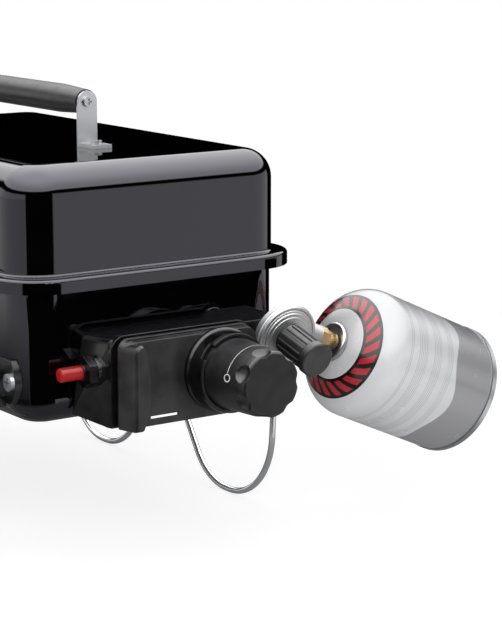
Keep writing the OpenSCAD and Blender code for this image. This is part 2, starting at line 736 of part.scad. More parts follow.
module gas_jet() {
    color("#d0ab5e") put() translate([valve_x0 - seat, knob_y, knob_z]) rotate([0, -90, 0]) difference() {
        union() {
            hex_bar(8, 4);
            cylinder(r = 3, h = 10);
        }
        translate([0, 0, -1]) cylinder(r = 1.5, h = 10);
        cylinder(r = 0.5, h = 12, $fn = 16);
    }
}

module supply_tube() {
    color("#b8823f") put() difference() {
        rod(supply_a, supply_b, supply_r);
        rod(supply_a - (supply_b - supply_a), supply_b + (supply_b - supply_a), supply_r - 1);
    }
}

// places children with +Z out along the igniter axis, from the hood's side wall
module at_igniter() { put() translate(ign_p) aim(ign_n) children(); }

module igniter_body() {
    color("#1d1d1f") at_igniter() difference() {
        translate([0, 0, -ign_depth]) cylinder(r = ign_body_r, h = ign_depth + ign_neck);
        translate([0, 0, -ign_bore]) cylinder(r = button_r + run, h = ign_bore + ign_neck + 1);
    }
}

module igniter_nut() {
    color("#202123") at_igniter() translate([0, 0, boss_l + seat]) difference() {
        hex_bar(nut_af, 7);
        translate([0, 0, -1]) cylinder(r = ign_body_r + run, h = 9);
    }
}

module igniter_button() {
    color("#c8262b") at_igniter() translate([0, 0, -button_in]) rotate_extrude()
        polygon([[0, 0], [button_r, 0], [button_r, button_in + ign_neck + button_l - 1.6],
            [button_r - 0.5, button_in + ign_neck + button_l - 0.5], [button_r - 1.6, button_in + ign_neck + button_l], [0, button_in + ign_neck + button_l]]);
}

// drawn at its pressed length, so that the button clears it
module igniter_spring() {
    color("#c3c6ca") at_igniter() translate([0, 0, 0.2 - ign_bore]) coil(button_r - 1.2, 0.5, 5, ign_bore - button_in - button_travel - 0.4);
}

// round bar with a ball a hair wider at each end, to join the next bend
module link(p, q, r) {
    u = (q - p) / norm(q - p);
    rod(p + 0.05 * u, q - 0.05 * u, r);
    for (e = [p, q]) translate(e) sphere(r = r + 0.03);
}

// lead from the end of the igniter to the end of the ceramic, inside the hood
lead_r = 1.5;
wire_route = [ign_p - (ign_depth + lead_r + 0.3) * ign_n, ign_p - (ign_depth + 5) * ign_n + [4, 4, 4],
    [wall_x + 17, (ign_p.y + elec_y) / 2 + 12, elec_z + 4], [wall_x + 17, elec_y, elec_z], [wall_x + 11 + lead_r + 0.3, elec_y, elec_z]];
module igniter_wire() {
    color("#2a2a2c") put() for (i = [0 : len(wire_route) - 2]) link(wire_route[i], wire_route[i + 1], lead_r);
}

module electrode_ceramic() {
    color("#e9e6dd") put() translate([wall_x - 22, elec_y, elec_z]) along_x() difference() {
        cylinder(r = ceramic_r, h = 33);
        translate([0, 0, -1]) cylinder(r = 1.2 + run, h = 26);
    }
}

module electrode_pin() {
    tip = [wall_x - 46, elec_y, elec_z];
    color("#8d8f92") put() {
        rod([wall_x, elec_y, elec_z], tip, 1.2);
        translate(tip) sphere(r = 1.2);
        rod(tip, tip + [-3, 5, -5], 1.2);
    }
}

module electrode_clip() {
    color("#8f8f8c") put() translate([wall_x + seat, elec_y, elec_z]) along_x() difference() {
        cylinder(r = 7, h = 2);
        translate([0, 0, -1]) cylinder(r = ceramic_r + run, h = 4);
    }
}

// places children with +Z out along the regulator axis, from its front face
module at_regulator() { put() translate(reg_p) rotate([0, 90 + reg_tilt, 0]) children(); }

// places children with +Z along the canister axis, from its valve end
module at_canister() { put() translate(can_p) aim(can_c) children(); }

reg_n = [cos(reg_tilt), 0, -sin(reg_tilt)];
module regulator_body() {
    socket_p = can_p - 24 * can_c;
    color("#bfc2c6") difference() {
        union() {
            at_regulator() translate([0, 0, -12]) cylinder(r = reg_r - 2.5, h = 5.9);
            at_regulator() translate([0, 0, -17]) cylinder(r = reg_r - 8, h = 5);
            at_canister() translate([0, 0, -25]) cylinder(r = 9, h = 10.9);
            put() rod(reg_p - 14 * reg_n, socket_p, 5.5);
            put() translate([supply_x - boss_r, reg_y, boss_z]) along_x() cylinder(r = boss_r, h = reg_p.x - 14 - supply_x + boss_r);
        }
        put() rod(supply_a, supply_b, supply_r + run);
        at_canister() translate([0, 0, -22]) cylinder(r = 5 + run, h = 10);
    }
}

// pressed cover with a crimped rim and stepped rings
module regulator_cover() {
    color("#d3d6d9") at_regulator() rotate_extrude() difference() {
        union() {
            translate([0, -6]) square([reg_r, 6]);
            translate([reg_r - 0.5, -3.6]) circle(1.5);
            translate([0, -1]) square([reg_r - 5, 1 + reg_step - 0.7]);
            translate([0, -1]) square([reg_r - 8, 1 + reg_step]);
        }
        translate([-1, -6.1]) square([reg_r - 1, 4.6]);
        translate([-1, -7]) square([1 + bonnet_r - 3, 12]);
        translate([reg_r - 2.6, 0]) circle(0.6);
    }
}

module regulator_diaphragm() {
    color("#3b3b3d") at_regulator() translate([0, 0, -6]) cylinder(r = reg_r - 2.2, h = 1);
}

// ribbed spring housing with a wider end cap
module regulator_bonnet() {
    cap_l = 9;
    ribs = 14;
    end = bonnet_l - reg_step;
    color("#2a2b2d") at_regulator() translate([0, 0, reg_step + seat]) difference() {
        union() {
            rotate_extrude() polygon([[0, 0], [bonnet_r - 1, 0], [bonnet_r - 1, end - cap_l], [bonnet_r + 1, end - cap_l + 2],
                [bonnet_r + 1, end - 1], [bonnet_r, end], [0, end]]);
            for (i = [0 : ribs - 1]) rotate(i * 360 / ribs) translate([bonnet_r - 3, -1, 2]) cube([3, 2, end - cap_l - 0.5]);
        }
        translate([0, 0, -1]) cylinder(r = bonnet_r - 3.5, h = end - 2);
    }
}

module regulator_spring() {
    color("#c3c6ca") at_regulator() translate([0, 0, -4.8]) coil(bonnet_r - 6, 0.9, 8, bonnet_l - 0.6);
}

module inlet_fitting() {
    color("#d0a95c") at_canister() difference() {
        union() {
            translate([0, 0, -21]) cylinder(r = 5, h = 8);
            translate([0, 0, -14]) hex_bar(16, 9);
            translate([0, 0, -6]) cylinder(r = 8, h = 9.5);
        }
        translate([0, 0, -9]) cylinder(r = stub_r + run, h = 14);
        translate([0, 0, -22]) cylinder(r = 1.5, h = 20);
    }
}

module inlet_seal() {
    color("#1b1b1c") at_canister() translate([0, 0, 4.6]) rotate_extrude() translate([7, 0]) circle(1);
}

// outline of the canister at a depth under its skin: dome, shoulder, side
dome_a0 = asin((cup_r + seat) / (dome_r - can_t));
function can_line(t, z1) = concat(
    [for (i = [0 : 8]) let (a = dome_a0 + (shoulder_a - dome_a0) * i / 8) [(dome_r - t) * sin(a), dome_z - (dome_r - t) * cos(a)]],
    [for (i = [1 : 12]) let (a = shoulder_a + (90 - shoulder_a) * i / 12) [can_r - shoulder_r + (shoulder_r - t) * sin(a), shoulder_z - (shoulder_r - t) * cos(a)]],
    [[can_r - t, z1]]);
module canister_body() {
    skin = can_line(0, can_l - 5);
    lining = can_line(can_t, can_l - 5);
    color("#e6e7e9") at_canister() rotate_extrude() polygon(concat(skin, [for (i = [len(lining) - 1 : -1 : 0]) lining[i]]));
}

// crimped valve cup with the threaded stub in its middle
module canister_valve() {
    color("#b4b7bb") at_canister() rotate_extrude() {
        polygon([[0, -7], [stub_r - 0.6, -7], [stub_r, -6], [stub_r, cup_z], [cup_r - 3, cup_z], [cup_r - 3, cup_z + 2], [0, cup_z + 2]]);
        translate([cup_r - 3.1, cup_z - 2]) square([3.1, 4]);
        translate([cup_r - 1.55, cup_z - 2]) circle(1.55);
    }
}

module canister_base() {
    color("#9a9da1") at_canister() rotate_extrude() {
        difference() {
            translate([can_r - 3, can_l - 5 + seat]) square([3 + can_rim, 5 - seat]);
            translate([can_r - 3, can_l - 2.5]) square([1.8, 4]);
        }
        intersection() {
            difference() {
                translate([0, can_l + 70]) circle(90, $fn = 256);
                translate([0, can_l + 70]) circle(89, $fn = 256);
            }
            square([can_r - 2.5, can_l - 1]);
        }
    }
}

bowl();
leg_brackets();
bracket_screws();
leg_front();
leg_back();
grate_rests();
cooking_grate();
burner_tube();
burner_support();
heat_deflector();
lid_shell();
handle_grip();
handle_straps();
handle_screws();
handle_nuts();
panel_hood();
hood_screws();
panel_cover();
knob_bezel();
control_knob();
valve_stem();
valve_body();
gas_jet();
supply_tube();
igniter_body();
igniter_nut();
igniter_button();
igniter_spring();
igniter_wire();
electrode_ceramic();
electrode_pin();
electrode_clip();
regulator_body();
regulator_cover();
regulator_diaphragm();
regulator_bonnet();
regulator_spring();
inlet_fitting();
inlet_seal();
canister_body();
canister_valve();
canister_base();
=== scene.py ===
# %% [markdown]
# # A portable gas grill, dressed in Blender
# The grill is a pressed bowl and lid in black enamel, with a plastic control panel
# at one end and a gas canister screwed into its regulator. The solids come from CAD
# and are loaded as a fixed frame. They could be modelled again by hand, but they
# already fit each other and move on their joints, so this lesson leaves their
# meshes alone. It gives them finishes, lays a painted skin over the canister, prints
# the marks on the knob, and lights the whole in a small studio.

# %% Load the frame
import bpy
import numpy as np
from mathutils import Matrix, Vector


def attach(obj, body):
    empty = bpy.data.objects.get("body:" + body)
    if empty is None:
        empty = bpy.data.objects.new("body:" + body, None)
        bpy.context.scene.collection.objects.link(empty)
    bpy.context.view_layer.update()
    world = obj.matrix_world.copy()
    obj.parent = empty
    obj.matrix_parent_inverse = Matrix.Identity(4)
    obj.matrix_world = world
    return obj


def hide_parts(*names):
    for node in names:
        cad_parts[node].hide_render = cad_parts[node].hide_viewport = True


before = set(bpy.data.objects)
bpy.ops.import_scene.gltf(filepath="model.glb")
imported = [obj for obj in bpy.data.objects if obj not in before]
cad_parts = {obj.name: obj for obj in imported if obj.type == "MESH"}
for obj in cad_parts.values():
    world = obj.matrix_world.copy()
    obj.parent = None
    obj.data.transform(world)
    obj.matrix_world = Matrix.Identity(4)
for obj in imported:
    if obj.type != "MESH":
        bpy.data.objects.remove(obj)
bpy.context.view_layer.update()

# %% [markdown]
# The drawing was made round the middle of the bowl, in millimetres. The packed
# model has its origin in the middle of the whole outline. Every number could be
# shifted by hand, but then it would no longer be a size that one can measure on the
# grill, so one helper turns a point of the drawing into metres in the model's frame.

# %% Points of the drawing
MM = 0.001
MIDDLE = np.array([50.0, 76.16, 0.0])           # middle of the outline, seen from the bowl


def place(points):
    """Millimetres round the bowl to metres round the model's origin."""
    return (np.asarray(points, float) - MIDDLE) * MM


print("middle of the bowl in the model:", place([0, 0, 0]))

# %% [markdown]
# The photograph was taken with a long lens from a little above the rim, turned
# towards the control end. A camera can be dragged about until the picture looks
# right. This one was fitted to the straight edges of the panel and the rim instead,
# which is more exact: its place, heading and focal length are numbers.

# %% Camera
CAMERA_AT = place([1590.2, -883.4, 518.7])
HEADING = np.radians(35.102)                    # turn from the -X axis towards +Y
DIP = np.radians(11.415)                        # tilt below the horizon
PICTURE_HIGH = 642                              # longer side of the picture, px
FOCAL_PX = 2085.94                              # focal length in the same px
SENSOR = 36.0                                   # the longer side on the sensor, mm
VIEW_RANGE = 0.05, 60                           # nearest and farthest, m

look = Vector((-np.cos(HEADING) * np.cos(DIP), np.sin(HEADING) * np.cos(DIP), -np.sin(DIP)))
camera = bpy.data.objects.new("camera", bpy.data.cameras.new("camera"))
bpy.context.collection.objects.link(camera)
camera.location = CAMERA_AT
camera.rotation_euler = look.to_track_quat("-Z", "Y").to_euler()
camera.data.sensor_width = SENSOR
camera.data.lens = SENSOR * FOCAL_PX / PICTURE_HIGH
camera.data.clip_start, camera.data.clip_end = VIEW_RANGE
bpy.context.scene.camera = camera
print("lens, mm:", round(camera.data.lens, 1))

# %% [markdown]
# The bowl and the lid are pressed steel under vitreous enamel, a black glass that is
# fused onto the metal. It could be a clear coat over a black base, with two layers
# to balance. Glass this dark hides what lies under it, so one shader is enough:
# almost no colour, a hard gloss, the refraction of a dense glass, and a faint violet
# in what it mirrors. Values that are the same all over sit on the shader's own
# sockets, where an export finds them.

# %% Enamel
ENAMEL_COLOUR = (0.0008, 0.0008, 0.001)
ENAMEL_TINT = (0.89, 0.87, 1.0, 1)              # colour of what it mirrors


def finish(name, colour, roughness, metallic=0.0, **sockets):
    """New material with a Principled shader. Further sockets are given by name, with
    an underscore for each space."""
    material = bpy.data.materials.new(name)
    material.use_nodes = True
    shader = material.node_tree.nodes["Principled BSDF"]
    shader.inputs["Base Color"].default_value = (*colour, 1)
    shader.inputs["Roughness"].default_value = roughness
    shader.inputs["Metallic"].default_value = metallic
    for socket, value in sockets.items():
        shader.inputs[socket.replace("_", " ")].default_value = value
    return material


enamel = finish("black_enamel", ENAMEL_COLOUR, roughness=0.03, IOR=1.65, Specular_Tint=ENAMEL_TINT)
print("finish made:", enamel.name)

# %% [markdown]
# Enamel flows a little before it sets, so neither its gloss nor its depth of black is
# quite even. An image could carry that, but it would need unwrapping and would show a
# seam. Noise over the Object coordinates has no seam and keeps its real size on every
# piece. First come three small helpers that make a node, link two sockets, and read
# the noise.

# %% Noise over a piece
def add(owner, kind, **values):
    """New node of a kind, with its named inputs set."""
    node = owner.node_tree.nodes.new(kind)
    for name, value in values.items():
        node.inputs[name].default_value = value
    return node


def join(owner, source, target):
    """Link one socket to another."""
    owner.node_tree.links.new(source, target)


def noise(material, scale, detail=4.0, stretch=(1, 1, 1)):
    """Noise over the piece's Object coordinates, in cycles a metre. The coordinates
    are first multiplied by the stretch, so a small value draws the pattern out."""
    where = add(material, "ShaderNodeTexCoord")
    stretched = add(material, "ShaderNodeMapping", Scale=stretch)
    grain = add(material, "ShaderNodeTexNoise", Scale=scale, Detail=detail)
    join(material, where.outputs["Object"], stretched.inputs["Vector"])
    join(material, stretched.outputs["Vector"], grain.inputs["Vector"])
    return grain.outputs["Fac"]


gloss_patches, depth_patches = noise(enamel, scale=60), noise(enamel, scale=25)
print("nodes in the enamel so far:", len(enamel.node_tree.nodes))

# %% [markdown]
# Noise alone runs from 0 to 1, too far for any socket. A colour ramp picks the part of
# the noise that matters and gives it two end values: two roughnesses, or two colours.
# Map Range would do for a roughness; the ramp does both, so one helper serves every
# finish below.

# %% Uneven gloss and depth
def feed(material, output, socket):
    """Drive one socket of the shader."""
    join(material, output, material.node_tree.nodes["Principled BSDF"].inputs[socket])


def vary(material, socket, fac, low, high, stops=(0.3, 0.7)):
    """Drive a socket from low to high, in a straight line, as fac goes from the first
    stop to the second. A grey or a plain value is one number."""
    node = add(material, "ShaderNodeValToRGB")
    join(material, fac, node.inputs["Fac"])
    for point, position, tone in zip(node.color_ramp.elements, stops, (low, high)):
        point.position = position
        point.color = (*tone, 1) if np.ndim(tone) else (tone, tone, tone, 1)
    feed(material, node.outputs["Color"], socket)


vary(enamel, "Roughness", gloss_patches, low=0.015, high=0.035)
vary(enamel, "Base Color", depth_patches, low=(0.0005, 0.0005, 0.0006), high=(0.001, 0.001, 0.0012))
print("nodes in the enamel so far:", len(enamel.node_tree.nodes))

# %% [markdown]
# At a flat angle the reflections in enamel waver, because the glass has a very faint
# ripple. Modelling it would take a mesh of millions of faces; a Bump node bends only
# the shading. The same helper can shade sharp edges as if they were rounded, with a
# Bevel node, which the moulded pieces need next.

# %% Ripple
RIPPLE_SCALE = 45                               # cycles a metre
RIPPLE_STRENGTH, RIPPLE_DEPTH = 0.008, 0.002    # share that shows, and metres


def bumpy(material, fac, strength, depth, soften=0.0):
    """Small relief: the height field fac, depth metres deep. With soften, sharp
    edges are shaded as if rounded to that radius, so that they catch light."""
    node = add(material, "ShaderNodeBump", Strength=strength, Distance=depth)
    join(material, fac, node.inputs["Height"])
    if soften:
        edge = add(material, "ShaderNodeBevel", Radius=soften)
        join(material, edge.outputs["Normal"], node.inputs["Normal"])
    feed(material, node.outputs["Normal"], "Normal")


bumpy(enamel, noise(enamel, RIPPLE_SCALE, detail=2), RIPPLE_STRENGTH, RIPPLE_DEPTH)
print("ripple in the enamel, mm:", round(RIPPLE_STRENGTH * RIPPLE_DEPTH / MM, 3))

# %% [markdown]
# The panel, the knob and the grip are moulded in black plastic. The mould leaves a
# fine grain and every edge has a small radius. Both could be modelled, but they are
# finer than a pixel here, so noise and rounded shading give them. A slow noise makes
# the tone cloudy, and another breaks up the gloss.

# %% Plastics
GRAIN_SCALE, GRAIN_DEPTH = 700, 0.0001          # cycles a metre, and metres
GLOSS_SCALE, GLOSS_SPREAD = 120, 0.05           # patches of more and less gloss
CLOUD_STOPS = (0.3, 0.75)                       # noise at the dark and the light tone
MOULD_EDGE = 0.001                              # radius of a moulded edge, m


def moulded(name, dark, light, roughness, grain, cloud=90):
    """Grained finish: colour, roughness and relief all follow noise."""
    material = finish(name, dark, roughness, IOR=1.58)
    vary(material, "Base Color", noise(material, cloud, detail=6), dark, light, CLOUD_STOPS)
    gloss = noise(material, GLOSS_SCALE)
    vary(material, "Roughness", gloss, roughness - GLOSS_SPREAD, roughness + GLOSS_SPREAD)
    bumpy(material, noise(material, GRAIN_SCALE, detail=2), grain, GRAIN_DEPTH, MOULD_EDGE)
    return material


hood = moulded("hood_plastic", (0.002, 0.002, 0.0022), (0.005, 0.005, 0.0055),
               roughness=0.22, grain=0.02)
panel = moulded("panel_plastic", (0.002, 0.002, 0.0022), (0.03, 0.03, 0.0325),
                roughness=0.35, grain=0.03, cloud=50)
knob = moulded("knob_plastic", (0.007, 0.007, 0.0075), (0.012, 0.012, 0.0128),
               roughness=0.36, grain=0.02)
grip = moulded("grip_plastic", (0.008, 0.008, 0.0085), (0.014, 0.014, 0.0145),
               roughness=0.4, grain=0.1)
rubber = moulded("black_rubber", (0.01, 0.01, 0.01), (0.02, 0.02, 0.02),
                 roughness=0.6, grain=0.3)
seal = moulded("grey_seal", (0.05, 0.05, 0.055), (0.08, 0.08, 0.085),
               roughness=0.5, grain=0.1)
print("moulded:", [material.name for material in (hood, panel, knob, grip, rubber, seal)])

# %% [markdown]
# Some pieces are neither plastic nor bare metal: the cooking grate has a rough enamel,
# the leg brackets a satin paint, the electrode a glazed ceramic. Each could have a
# recipe of its own. A grained finish differs from them only in its numbers, so they
# share the plastics' helper. The igniter button is smoother, in a bright red, and its
# edges are tighter, so it gets its values one by one.

# %% Painted and glazed pieces, and the button
BUTTON_DARK, BUTTON_LIGHT = (0.36, 0.003, 0.005), (0.42, 0.005, 0.007)
BUTTON_GRAIN = 0.03                             # share of the grain that shows
BUTTON_EDGE = 0.0006                            # radius of the button's edge, m

grate = moulded("grate_enamel", (0.012, 0.012, 0.012), (0.03, 0.03, 0.03),
                roughness=0.35, grain=0.4)
bracket = moulded("bracket_paint", (0.004, 0.004, 0.0045), (0.008, 0.008, 0.0088),
                  roughness=0.24, grain=0.1)
ceramic = moulded("ceramic", (0.75, 0.73, 0.68), (0.85, 0.83, 0.78),
                  roughness=0.25, grain=0.1)
button = finish("red_plastic", (0.4, 0.005, 0.007), roughness=0.3)
vary(button, "Base Color", noise(button, scale=180), BUTTON_DARK, BUTTON_LIGHT)
bumpy(button, noise(button, GRAIN_SCALE, detail=2), BUTTON_GRAIN, GRAIN_DEPTH, BUTTON_EDGE)
print("further finishes:", [material.name for material in (grate, bracket, ceramic, button)])

# %% [markdown]
# The metals are chromed wire, zinc-plated screws, cast alloy, brass, copper and bare
# steel. Drawn or rolled metal has fine streaks. The Anisotropic socket could stretch
# its highlights, but it shows no single streak, so the roughness follows a noise that
# is drawn out along one direction.

# %% Metals
DARKER = 0.92                                   # tone of a metal's dull patches
TONE_SCALE = 40                                 # cycles a metre
STREAKS = (0.1, 1, 1)                           # ten times as long along X
RELIEF_DEPTH = 0.0001                           # metres


def metal(name, colour, roughness, spread, scale, stretch=(1, 1, 1), relief=0.05, purity=1.0):
    """Metal with a cloudy tone and streaks in its gloss. A purity below 1 lets some
    light scatter, as in a thin plating over drawn wire."""
    material = finish(name, colour, roughness, purity)
    dull = tuple(DARKER * c for c in colour)
    vary(material, "Base Color", noise(material, TONE_SCALE, detail=5), dull, colour)
    gloss = noise(material, scale, stretch=stretch)
    vary(material, "Roughness", gloss, roughness - spread, roughness + spread)
    bumpy(material, noise(material, scale, 2, stretch), relief, RELIEF_DEPTH)
    return material


chrome = metal("chrome_wire", (0.74, 0.75, 0.77), roughness=0.1, spread=0.03, scale=300,
               stretch=STREAKS, relief=0.01, purity=0.75)
plated = metal("plated_steel", (0.62, 0.63, 0.65), roughness=0.32, spread=0.03, scale=60,
               relief=0.0)
brass = metal("brass", (0.72, 0.52, 0.26), roughness=0.28, spread=0.03, scale=90, relief=0.0)
copper = metal("copper_tube", (0.72, 0.42, 0.24), roughness=0.3, spread=0.06, scale=300,
               relief=0.02)
cast = metal("cast_alloy", (0.5, 0.505, 0.51), roughness=0.48, spread=0.04, scale=90, relief=0.04)
burner = metal("burner_steel", (0.5, 0.48, 0.45), roughness=0.4, spread=0.1, scale=300,
               stretch=STREAKS)
sooty = metal("deflector_steel", (0.3, 0.28, 0.26), roughness=0.5, spread=0.1, scale=200)
tin = metal("canister_steel", (0.55, 0.56, 0.58), roughness=0.32, spread=0.03, scale=60, relief=0.0)
METALS = (chrome, plated, brass, copper, cast, burner, sooty, tin)
print("metals:", [material.name for material in METALS])

# %% [markdown]
# The regulator's cover was spun on a lathe, so its marks are rings. A ring texture
# node would have to be turned to the cover's tilt. It is simpler to measure how far
# each spot is from the lathe's axis: that is the length of the cross product of the
# axis with the way from a point on it. A sine of that distance then draws fine rings
# of even width.

# %% Distance from an axis
def put(owner, value, socket):
    """Give a socket its value: a number is set, another socket is linked."""
    if isinstance(value, (int, float)):
        socket.default_value = value
    else:
        join(owner, value, socket)


def calc(owner, operation, *values):
    """Math node on sockets or numbers."""
    node = add(owner, "ShaderNodeMath")
    node.operation = operation
    for socket, value in zip(node.inputs, values):
        put(owner, value, socket)
    return node.outputs[0]


def off_axis(material, point, axis):
    """Distance of the shaded spot from an axis, in metres: the length of the spot
    less the point, crossed with the axis."""
    where = add(material, "ShaderNodeTexCoord").outputs["Object"]
    for operation, vector in (("SUBTRACT", point), ("CROSS_PRODUCT", axis)):
        node = add(material, "ShaderNodeVectorMath")
        node.operation = operation
        node.inputs[1].default_value = vector
        join(material, where, node.inputs[0])
        where = node.outputs["Vector"]
    size = add(material, "ShaderNodeVectorMath")
    size.operation = "LENGTH"
    join(material, where, size.inputs[0])
    return size.outputs["Value"]


spun = metal("spun_alloy", (0.6, 0.605, 0.61), roughness=0.48, spread=0.03, scale=60, relief=0.0)
print("finish made:", spun.name)

# %% [markdown]
# The rings drive two things. The colour is painted shade and painted light: darker in
# each groove, brighter on each crest. The relief makes each ring catch the light on one
# side, as turned metal does. The rings could be cut into the mesh, but at this pitch they
# are texture, not shape.

# %% Spun rings
COVER_MIDDLE = place([258.0, 89.0, 171.7])
COVER_TILT = np.radians(16)
COVER_AXIS = (np.cos(COVER_TILT), 0, -np.sin(COVER_TILT))
RING_PITCH = 0.0016                             # from crest to crest, m
RING_STRENGTH = 0.25                            # share of the relief that shows
# colours of painted shade in each groove and painted light on each crest
PAINTED_GROOVE_SHADE, PAINTED_CREST_LIGHT = (0.5, 0.505, 0.51), (0.62, 0.625, 0.63)
COVER_EDGE = 0.0008                             # radius of the cover's edges, m


def wave(owner, value, pace):
    """Sine of a value, which is first multiplied by the pace."""
    return calc(owner, "SINE", calc(owner, "MULTIPLY", value, pace))


rings = wave(spun, off_axis(spun, COVER_MIDDLE, COVER_AXIS), 2 * np.pi / RING_PITCH)
ring_painted_light = calc(spun, "MULTIPLY_ADD", rings, 0.5, 0.5)     # from -1 to 1, to 0 to 1
# the base colour carries painted shade in the grooves and painted light on the crests
vary(spun, "Base Color", ring_painted_light, PAINTED_GROOVE_SHADE, PAINTED_CREST_LIGHT, stops=(0.0, 1.0))
bumpy(spun, rings, RING_STRENGTH, RELIEF_DEPTH, COVER_EDGE)
print("rings on the cover, per cm:", round(0.01 / RING_PITCH, 1))

# %% [markdown]
# A CAD piece whose shape is right keeps its mesh and only gets a finish. Each could be
# picked by hand in the outliner. The table below goes from each finish to the pieces
# that have it on the real grill, as a maker's list of paints and platings would, and
# one loop fills the slots. The knob and the bright regulator are kept out of mirrors,
# as a small dark card behind them would do in a studio, so that the bowl's wall above
# the panel stays black.

# %% Finishes on the CAD pieces
LOOKS = {
    enamel: ["bowl", "lid_shell"],
    hood: ["panel_hood", "knob_bezel", "igniter_body", "igniter_nut"],
    panel: ["panel_cover", "regulator_bonnet"],
    knob: ["control_knob"],
    grip: ["handle_grip"],
    button: ["igniter_button"],
    rubber: ["igniter_wire", "regulator_diaphragm"],
    seal: ["inlet_seal"],
    chrome: ["leg_front", "leg_back"],
    plated: ["bracket_screws", "handle_straps", "handle_screws", "handle_nuts",
             "hood_screws", "grate_rests", "valve_stem", "igniter_spring",
             "regulator_spring", "electrode_pin", "electrode_clip"],
    brass: ["valve_body", "gas_jet", "inlet_fitting"],
    copper: ["supply_tube"],
    spun: ["regulator_cover"],
    cast: ["regulator_body"],
    burner: ["burner_tube", "burner_support"],
    sooty: ["heat_deflector"],
    grate: ["cooking_grate"],
    bracket: ["leg_brackets"],
    ceramic: ["electrode_ceramic"],
    tin: ["canister_valve", "canister_base"],
}
UNMIRRORED = ["regulator_body", "regulator_cover", "regulator_diaphragm", "control_knob"]

for material, names in LOOKS.items():
    for name in names:
        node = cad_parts[name]
        node.data.materials.clear()
        node.data.materials.append(material)
for name in UNMIRRORED:
    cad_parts[name].visible_glossy = False
print("pieces with a finish:", sum(map(len, LOOKS.values())))

# %% [markdown]
# The next pieces are new ones. A shape can be built in edit mode, with modifiers, or
# from a formula. Here each surface is computed as a whole grid of points and handed to
# Blender in one go, which is fast and exact. The helper joins the grid's neighbours
# into four-sided faces. A direction that runs round in a ring is closed onto its own
# start, so that every piece is a closed skin with its faces turned outwards.

# %% Grid to mesh
def surface(name, grid, body, loop):
    """Closed mesh of a grid of points, rows by columns by three. Each face joins
    point (i, j) to (i, j+1), (i+1, j+1) and (i+1, j), and the columns wrap round.
    With loop the rows wrap too; without it, the end rows are closed by a cap."""
    rows, columns = grid.shape[:2]
    ring = np.arange(rows * columns).reshape(rows, columns)
    index = np.hstack([ring, ring[:, :1]])
    index = np.vstack([index, index[:1]]) if loop else index
    corners = [index[:-1, :-1], index[:-1, 1:], index[1:, 1:], index[1:, :-1]]
    faces = np.stack(corners, axis=-1).reshape(-1, 4).tolist()
    faces += [] if loop else [ring[0, ::-1].tolist(), ring[-1].tolist()]
    mesh = bpy.data.meshes.new(name)
    mesh.from_pydata(grid.reshape(-1, 3), [], faces)
    mesh.polygons.foreach_set("use_smooth", np.ones(len(faces), dtype=bool))
    piece = bpy.data.objects.new(name, mesh)
    bpy.context.collection.objects.link(piece)
    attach(piece, body)
    print(name, "has", len(faces), "faces")
    return piece


# %% [markdown]
# The knob carries two printed marks: a white nought for "off" and a white line that
# runs from it round the knob. A texture could draw them, but thin ink with a real edge
# keeps sharp at any distance, so each mark is a very flat tube on the knob's cone. Its
# path gives the place along the knob and the angle round it.

# %% Strokes of ink
KNOB_Y, KNOB_Z = 29.0, 152.5                    # the knob's axis runs along X
KNOB_NEAR, KNOB_FAR = (274.0, 28.4), (314.0, 26.9)   # X and radius at both ends of the side
MARK_R = 27.5                                   # radius at the marks, mm
INK_HIGH = 0.06                                 # height of the print, mm
TUBE_STEPS = 12

ink = finish("white_ink", (0.8, 0.8, 0.8), roughness=0.45)
vary(ink, "Base Color", noise(ink, scale=900), low=0.72, high=0.84)


def on_knob(x, angle, lift):
    """Point on the knob's side: its radius falls in a straight line between the
    two ends, plus the lift; the angle turns from +Y towards +Z."""
    radius = np.interp(x, *zip(KNOB_NEAR, KNOB_FAR)) + lift
    y, z = KNOB_Y + radius * np.cos(angle), KNOB_Z + radius * np.sin(angle)
    return np.stack([x, y, z], axis=-1)


def stroke(name, x, angle, width, loop):
    """Flat tube: an ellipse, as wide as the stroke and twice the ink's height, is
    carried along the path; its long axis stays at a right angle to the path."""
    arc = MARK_R * angle
    if loop:
        dx, da = (np.roll(v, -1) - np.roll(v, 1) for v in (x, arc))
    else:
        dx, da = np.gradient(x), np.gradient(arc)
    dx, da = dx / np.hypot(dx, da), da / np.hypot(dx, da)
    around = np.linspace(2 * np.pi, 0, TUBE_STEPS, endpoint=False)
    across = width / 2 * np.cos(around)
    tube_x = x[:, None] - da[:, None] * across
    tube_angle = (arc[:, None] + dx[:, None] * across) / MARK_R
    grid = on_knob(tube_x, tube_angle, INK_HIGH * np.sin(around))
    piece = surface(name, place(grid), "knob", loop)
    piece.data.materials.append(ink)
    piece.visible_glossy = False


print("knob radius at the marks, mm:", MARK_R)

# %% [markdown]
# With the helper ready, a mark is only a path. The nought is an ellipse, closed onto
# itself; the line is an arc at one place along the knob. Both could be curves with a
# bevel, which would then have to be bent round the cone.

# %% Knob marks
NOUGHT_X, NOUGHT_ANGLE = 298.2, np.radians(169.2)     # middle of the nought
NOUGHT_LONG, NOUGHT_WIDE = 3.4, 2.85            # half its length and width, mm
LINE_X, LINE_ENDS = 297.5, (160.8, 62)          # place along the knob, and degrees round it
NOUGHT_STROKE, LINE_STROKE = 0.85, 0.75         # widths of the strokes, mm
NOUGHT_STEPS, LINE_STEPS = 64, 90

round_nought = np.linspace(0, 2 * np.pi, NOUGHT_STEPS, endpoint=False)
nought_x = NOUGHT_X + NOUGHT_LONG * np.cos(round_nought)
nought_angle = NOUGHT_ANGLE + NOUGHT_WIDE / MARK_R * np.sin(round_nought)
stroke("knob_nought", nought_x, nought_angle, NOUGHT_STROKE, True)
line_angle = np.radians(np.linspace(*LINE_ENDS, LINE_STEPS))
stroke("knob_line", np.full(LINE_STEPS, LINE_X), line_angle, LINE_STROKE, False)

# %% [markdown]
# The canister is a drawn steel can with a low dome, a tight shoulder and a straight
# side. It could be a cylinder with bevelled edges, but then its end would be flat and
# the shading would break at each edge. Here the outline is written as two arcs and a
# line that run into each other, and a second line inside it gives the skin a wall.

